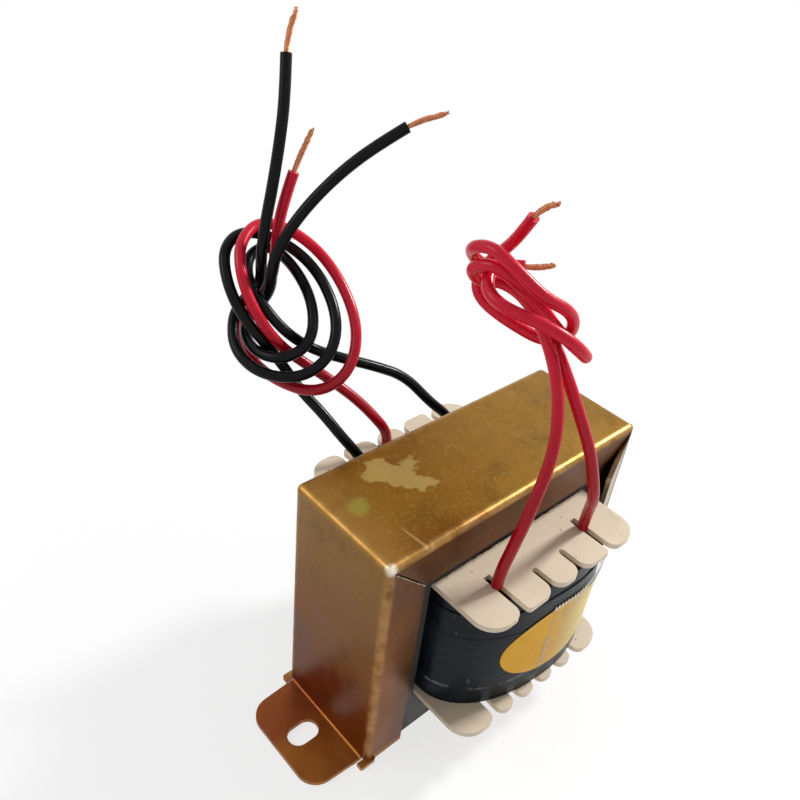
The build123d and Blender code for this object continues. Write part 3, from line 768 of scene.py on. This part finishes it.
def patch(name, columns, low, high, proud, thickness, slot, node, rows=14):
    """Thin sheet on the front of the coil, between two heights at each column."""
    points = []
    for x in columns:
        for row in range(rows + 1):
            z = low(x) + (high(x) - low(x)) * row / rows
            for lift in (0.0, thickness):
                points.append((x, -bulge(x, proud(x, z) + lift), z))

    def at(column, row, side):
        """Number of a point: side 0 lies on the coil and side 1 is the outside."""
        return (column * (rows + 1) + row) * 2 + side

    faces = []
    last = len(columns) - 1
    for column in range(last):
        for row in range(rows):
            corners = ((column, row), (column + 1, row), (column + 1, row + 1), (column, row + 1))
            faces.append([at(*corner, 1) for corner in corners])
            faces.append([at(*corner, 0) for corner in reversed(corners)])
        for row in (0, rows):
            here = (column, row)
            there = (column + 1, row)
            faces.append((at(*here, 0), at(*there, 0), at(*there, 1), at(*here, 1)))
    for column in (0, last):
        for row in range(rows):
            here = (column, row)
            there = (column, row + 1)
            faces.append((at(*here, 0), at(*here, 1), at(*there, 1), at(*there, 0)))
    made = new_mesh(name, points, faces, MATERIALS[slot])
    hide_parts(node)


TAPE_PROUD = 0.36  # just outside the thickest turn of the dark tape
LABEL_X = 3.0
LABEL_Z = 26.4
LABEL_HALF_W = 14.5
LABEL_HALF_H = 9.0
LABEL_T = 0.1
LABEL_COLUMNS = 60
LABEL_END = 0.06  # radians left off at each side, so that the first column has a height


def round_label():
    """Oval that follows the bulge."""
    turns = steps_between(LABEL_END, math.pi - LABEL_END, LABEL_COLUMNS)
    columns = [LABEL_X - LABEL_HALF_W * math.cos(turn) for turn in turns]

    def half_height(x):
        """Of the oval at this column."""
        return LABEL_HALF_H * max(0.0, 1 - ((x - LABEL_X) / LABEL_HALF_W) ** 2) ** 0.5

    patch(
        "round_label",
        columns,
        lambda x: LABEL_Z - half_height(x),
        lambda x: LABEL_Z + half_height(x),
        lambda x, z: TAPE_PROUD,
        LABEL_T,
        "label_card",
        "label",
    )


FILM_LEFT = -1.2
FILM_RIGHT = 18.4
FILM_LOW = 16.4
FILM_HIGH = 35.3
FILM_T = 0.06
FILM_GAP = 0.03  # over the label
FILM_COLUMNS = 88
TOOTH_H = 0.7  # along the cut top; those of the low edge are half as high
TOOTH_COLUMNS = 4
LIFT = 0.9  # of the loose corner
LIFT_LEFT = 15.2  # where it starts to lift
LIFT_LOW = 24.0
LIFT_HIGH = 34.0


def film_proud(x, z):
    """How far the clear tape is outside the coil, more towards its loose upper right corner."""
    lift = LIFT * smooth(x, LIFT_LEFT, FILM_RIGHT) * smooth(z, LIFT_LOW, LIFT_HIGH)
    return TAPE_PROUD + LABEL_T + FILM_GAP + lift


def clear_tape():
    """Clear tape over the label's right part, with toothed ends above and below."""
    chance = random.Random(7)
    columns = steps_between(FILM_LEFT, FILM_RIGHT, FILM_COLUMNS)
    teeth = {}
    for index, x in enumerate(columns):
        tooth = TOOTH_H if index % TOOTH_COLUMNS >= TOOTH_COLUMNS / 2 else 0.0
        teeth[x] = tooth + chance.uniform(-0.05, 0.05)
    patch(
        "clear_tape",
        columns,
        lambda x: FILM_LOW + 0.5 * teeth[x],
        lambda x: FILM_HIGH + teeth[x],
        film_proud,
        FILM_T,
        "clear_film",
        "label_film",
    )


taped_coil()
round_label()
clear_tape()


# Small marks of making
FLASH_ENDS = (-20.8, 20.6)
FLASH_OUT = 0.15  # from the core
FLASH_D = 0.5
BURR_X = -32.6  # its upper end
BURR_Z = 54.63
BURR_RUN = 7.6  # inwards, and as much down
BURR_OUT = 0.02  # from the face of the lips
BURR_D = 0.3


def ragged_bead(name, points, diameter, material, seed):
    """Thin uneven bead, such as a burr or flash."""
    chance = random.Random(seed)
    line = [metres(point) for point in points]
    made = wires(name, [line], diameter * MM, material, roundness=2, steps=4)
    for point in made.data.splines[0].points:
        point.radius = chance.uniform(0.25, 1.0)
    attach(made, "root")


def flange_flash():
    """Ragged moulding flash where the front flange meets the core."""
    chance = random.Random(3)
    points = []
    for x in steps_between(*FLASH_ENDS, 90):
        y = -CORE_FACE - FLASH_OUT - chance.uniform(0, 0.25)
        z = FLANGE_TOP + chance.uniform(-0.05, 0.12)
        points.append((x, y, z))
    ragged_bead("flange_flash", points, FLASH_D, MATERIALS["cream_nylon"], 4)


def mitre_burr():
    """Raised burr down the open mitre of the front left corner."""
    chance = random.Random(5)
    points = []
    for run in steps_between(0.0, BURR_RUN, 22):
        z = BURR_Z - run + chance.uniform(-0.06, 0.06)
        points.append((BURR_X + run, -LIP_FACE - BURR_OUT, z))
    ragged_bead("mitre_burr", points, BURR_D, burr_steel_with_highlight(), 6)


flange_flash()
mitre_burr()


# Floor, light and camera
def seen_white(tree):
    """1 for a ray that shows the background: to the camera, or by way of gloss or glass."""
    rays = tree.nodes.new("ShaderNodeLightPath")
    total = rays.outputs["Is Camera Ray"]
    for name in ("Is Glossy Ray", "Is Transmission Ray"):
        add = tree.nodes.new("ShaderNodeMath")
        add.operation = "ADD"
        add.use_clamp = True
        tree.links.new(total, add.inputs[0])
        tree.links.new(rays.outputs[name], add.inputs[1])
        total = add.outputs[0]
    return total


FLOOR_REACH = 4.0  # metres, as are FLOOR_Z and the places of lights and camera
FLOOR_Z = -0.0001
SHADE_RADIUS = 60.0  # millimetres, of the floor that shows shadows most
SHADE_FADE = 80.0  # from there to plain white
GLOW_NEAR = 0.7  # share of plain white inside that radius; it is 1 far away
FILL_LIGHT = 0.45  # strength of the white surroundings where they light the object


def floor():
    """White plane. It shows shadows near the object and fades to plain white away from it."""
    mesh = bpy.data.meshes.new("floor")
    corners = ((-1, -1), (1, -1), (1, 1), (-1, 1))
    points = [(x * FLOOR_REACH, y * FLOOR_REACH, FLOOR_Z) for x, y in corners]
    mesh.from_pydata(points, [], [(0, 1, 2, 3)])
    made = bpy.data.objects.new("floor", mesh)
    bpy.context.scene.collection.objects.link(made)
    paint = Paint("floor", roughness=0.8, Specular_IOR_Level=0.0)
    paint.colour(paint.blend(paint.noise(6.0, 2.0), srgb(248, 248, 248), srgb(252, 252, 252)))
    glow = paint.tree.nodes.new("ShaderNodeEmission")
    mix = paint.tree.nodes.new("ShaderNodeMixShader")
    beside = paint.near((0, 0, 0), SHADE_RADIUS, SHADE_FADE)
    share = paint.both(seen_white(paint.tree), paint.between(beside, 0.0, 1.0, 1.0, GLOW_NEAR))
    paint.link(share, mix.inputs[0])
    paint.link(paint.shader.outputs[0], mix.inputs[1])
    paint.link(glow.outputs[0], mix.inputs[2])
    paint.link(mix.outputs[0], paint.tree.nodes["Material Output"].inputs["Surface"])
    mesh.materials.append(paint.material)


def softbox(name, place, size, power, aim=(0, 0, 0.04)):
    """Round light of this size and power, turned towards the object."""
    light = bpy.data.lights.new(name, "AREA")
    light.shape = "DISK"
    light.size = size
    light.energy = power
    made = bpy.data.objects.new(name, light)
    made.location = place
    made.rotation_euler = (Vector(aim) - Vector(place)).to_track_quat("-Z", "Y").to_euler()
    bpy.context.scene.collection.objects.link(made)


def studio_world():
    """White surroundings: plain white as seen, and weaker as light on the object."""
    world = bpy.data.worlds.new("studio")
    world.use_nodes = True
    tree = world.node_tree
    background = tree.nodes["Background"]
    background.inputs["Color"].default_value = (1.0, 1.0, 1.0, 1.0)
    strength = tree.nodes.new("ShaderNodeMapRange")
    strength.inputs["To Min"].default_value = FILL_LIGHT
    strength.inputs["To Max"].default_value = 1.0
    tree.links.new(seen_white(tree), strength.inputs["Value"])
    tree.links.new(strength.outputs["Result"], background.inputs["Strength"])
    bpy.context.scene.world = world


def camera():
    """The photo's camera."""
    data = bpy.data.cameras.new("camera")
    data.lens = 37.11
    data.sensor_width = 36
    data.clip_start = 0.01
    made = bpy.data.objects.new("camera", data)
    made.location = (-0.10049, -0.07607, 0.15603)
    made.rotation_euler = [math.radians(angle) for angle in (54.187, -5.460, -41.508)]
    bpy.context.scene.collection.objects.link(made)
    bpy.context.scene.camera = made


floor()
softbox("key", place=(0.45, -0.08, 0.38), size=0.1, power=3.2)
softbox("rim", place=(-0.4, 0.28, 0.4), size=0.3, power=0.7)
studio_world()
camera()
bpy.context.scene.view_settings.view_transform = "Standard"
